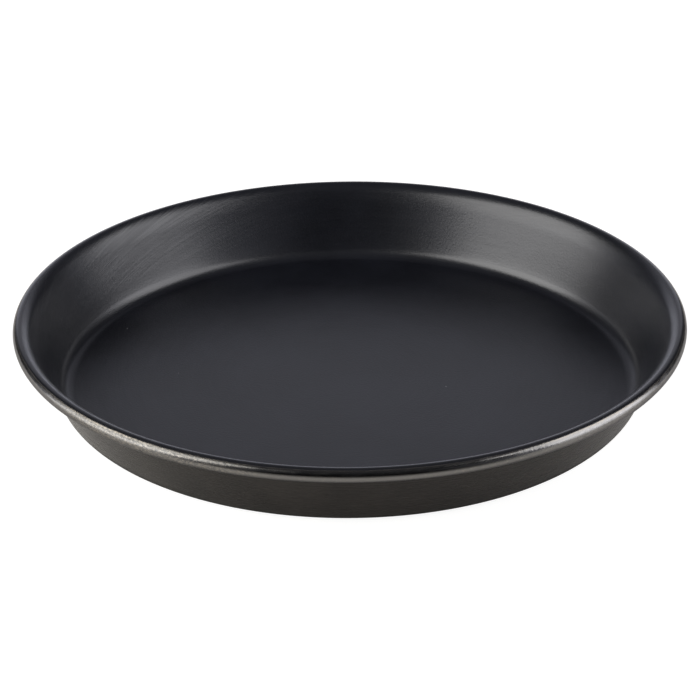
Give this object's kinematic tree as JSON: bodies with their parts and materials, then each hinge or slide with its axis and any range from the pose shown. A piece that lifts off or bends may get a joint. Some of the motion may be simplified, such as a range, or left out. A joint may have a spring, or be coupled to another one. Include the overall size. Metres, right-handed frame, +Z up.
{
  "type": "pizza pan",
  "caption": "Round steel pizza pan with a flat floor, a low wall that leans outwards and a rolled rim stiffened by a wire.",
  "frame": {"origin": "centre of the flat underside, where the pan rests", "axes": "+Z up along the pan's axis of symmetry; X and Y across the pan, with the wire's butt joint inside the rim at +Y"},
  "size_m": [0.32, 0.32, 0.037],
  "materials": {
    "dark_steel_sheet": "dark satin, lightly brushed round the wall, with the rolled rim smoother and brighter",
    "wire_steel": "drawn steel wire, plain"
  },
  "bodies": {
    "root": {"pan_body": "dark_steel_sheet", "rim_wire": "wire_steel"}
  },
  "joints": []
}
